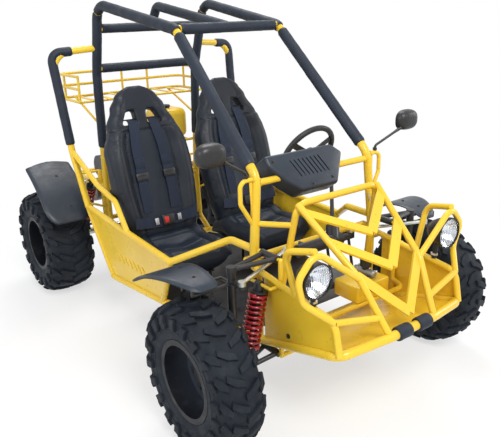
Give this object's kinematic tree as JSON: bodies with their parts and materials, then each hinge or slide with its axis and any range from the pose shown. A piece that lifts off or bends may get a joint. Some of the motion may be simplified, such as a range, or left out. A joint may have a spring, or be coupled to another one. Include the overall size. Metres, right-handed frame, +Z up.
{
  "type": "dune buggy",
  "caption": "Open two-seat dune buggy with a tubular frame, foam-padded roll cage, bucket seats, working rack steering and free-turning wheels.",
  "frame": {"origin": "on the ground, at the middle of the vehicle's length and width", "axes": "+Z up, -Y forward, +X to the vehicle's left"},
  "size_m": [1.388, 2.2618, 1.4605],
  "materials": {
    "frame_yellow": "glossy yellow powder coat",
    "foam_black": "matt closed-cell foam sleeve",
    "frame_black": "black powder coat",
    "body_plastic": "satin dark grey moulded plastic",
    "seat_vinyl": "black grained vinyl",
    "webbing": "dark navy woven belt",
    "lamp_plastic": "black moulded plastic",
    "lamp_glass": "clear ribbed lens",
    "spring_red": "glossy red paint",
    "zinc_steel": "zinc-plated steel",
    "cast_alloy": "sand-cast alloy",
    "exhaust_steel": "heat-dulled steel",
    "rim_black": "gloss black pressed steel",
    "tyre_rubber": "matt black tyre rubber",
    "grip_black": "soft black grip"
  },
  "bodies": {
    "root": {"main_frame": "frame_yellow", "front_frame": "frame_yellow", "side_rails": "frame_yellow", "side_panels": "frame_yellow", "cage_sides": "frame_yellow", "cage_cross_tubes": "frame_yellow", "outer_hoops": "frame_yellow", "dash_frame": "frame_yellow", "hood_guard": "frame_yellow", "lamp_guards": "frame_yellow", "nose_panels": "frame_yellow", "skid_plate": "frame_yellow", "rear_frame": "frame_yellow", "luggage_rack": "frame_yellow", "fuel_tank": "frame_yellow", "cage_pads": "foam_black", "bumper_pads": "foam_black", "floor_pan": "frame_black", "seat_stands": "frame_black", "pedals": "frame_black", "lower_arms": "frame_black", "upper_arms": "frame_black", "swing_arm": "frame_black", "dash_cowl": "body_plastic", "rear_fenders": "body_plastic", "seat_backs": "seat_vinyl", "seat_cushions": "seat_vinyl", "harness": "webbing", "headlamps": "lamp_plastic", "mirrors": "lamp_plastic", "air_cleaner": "lamp_plastic", "lamp_lenses": "lamp_glass", "springs": "spring_red", "shock_absorbers": "zinc_steel", "rack_housing": "cast_alloy", "engine": "cast_alloy", "transmission_case": "cast_alloy", "exhaust": "exhaust_steel"},
    "knuckle_right": {"knuckle_right": "frame_black", "front_fender_right": "body_plastic"},
    "knuckle_left": {"knuckle_left": "frame_black", "front_fender_left": "body_plastic"},
    "tie_rod_right": {"tie_rod_right": "zinc_steel"},
    "tie_rod_left": {"tie_rod_left": "zinc_steel"},
    "rack_bar": {"rack_bar": "zinc_steel"},
    "steering_wheel": {"steering_wheel": "grip_black"},
    "steering_shaft": {"steering_shaft": "zinc_steel"},
    "wheel_front_right": {"tyre_front_right": "tyre_rubber", "rim_front_right": "rim_black"},
    "wheel_front_left": {"tyre_front_left": "tyre_rubber", "rim_front_left": "rim_black"},
    "rear_axle": {"rear_axle": "zinc_steel", "tyres_rear": "tyre_rubber", "rims_rear": "rim_black"}
  },
  "joints": [
    {"name": "steer_right", "type": "hinge", "parent": "root", "child": "knuckle_right", "pos_m": [-0.45, -0.719, 0.266], "axis": [0, 0, 1], "range_deg": [-30, 30]},
    {"name": "steer_left", "type": "hinge", "parent": "root", "child": "knuckle_left", "pos_m": [0.45, -0.719, 0.266], "axis": [0, 0, 1], "range_deg": [-30, 30]},
    {"name": "steering_wheel_turn", "type": "hinge", "parent": "root", "child": "steering_wheel", "pos_m": [0.235, -0.331, 0.822], "axis": [0, 0.8829, 0.4695], "range_deg": [-150, 150]},
    {"name": "steering_shaft_turn", "type": "hinge", "parent": "root", "child": "steering_shaft", "pos_m": [0.07, -0.659, 0.562], "axis": [0.5388, 0.5953, 0.5961], "range_deg": [-150, 150]},
    {"name": "rack_slide", "type": "slide", "parent": "root", "child": "rack_bar", "axis": [1, 0, 0], "range_m": [-0.0345, 0.0345]},
    {"name": "tie_rod_swing_right", "type": "hinge", "parent": "knuckle_right", "child": "tie_rod_right", "pos_m": [-0.455, -0.785, 0.5803], "axis": [0, 0, 1], "range_deg": [-30, 30]},
    {"name": "tie_rod_swing_left", "type": "hinge", "parent": "knuckle_left", "child": "tie_rod_left", "pos_m": [0.455, -0.785, 0.5803], "axis": [0, 0, 1], "range_deg": [-30, 30]},
    {"name": "wheel_spin_front_right", "type": "hinge", "parent": "knuckle_right", "child": "wheel_front_right", "pos_m": [-0.583, -0.719, 0.266], "axis": [1, 0, 0], "continuous": true},
    {"name": "wheel_spin_front_left", "type": "hinge", "parent": "knuckle_left", "child": "wheel_front_left", "pos_m": [0.583, -0.719, 0.266], "axis": [1, 0, 0], "continuous": true},
    {"name": "rear_axle_spin", "type": "hinge", "parent": "root", "child": "rear_axle", "pos_m": [0, 0.861, 0.27], "axis": [1, 0, 0], "continuous": true}
  ],
  "couplings": [
    {"joint": "steer_left", "follows": "steer_right", "ratio": 1},
    {"joint": "steering_wheel_turn", "follows": "steer_right", "ratio": 5},
    {"joint": "steering_shaft_turn", "follows": "steer_right", "ratio": 5},
    {"joint": "rack_slide", "follows": "steer_right", "m_per_rad": 0.064},
    {"joint": "tie_rod_swing_right", "follows": "steer_right", "ratio": -1},
    {"joint": "tie_rod_swing_left", "follows": "steer_right", "ratio": -1}
  ]
}
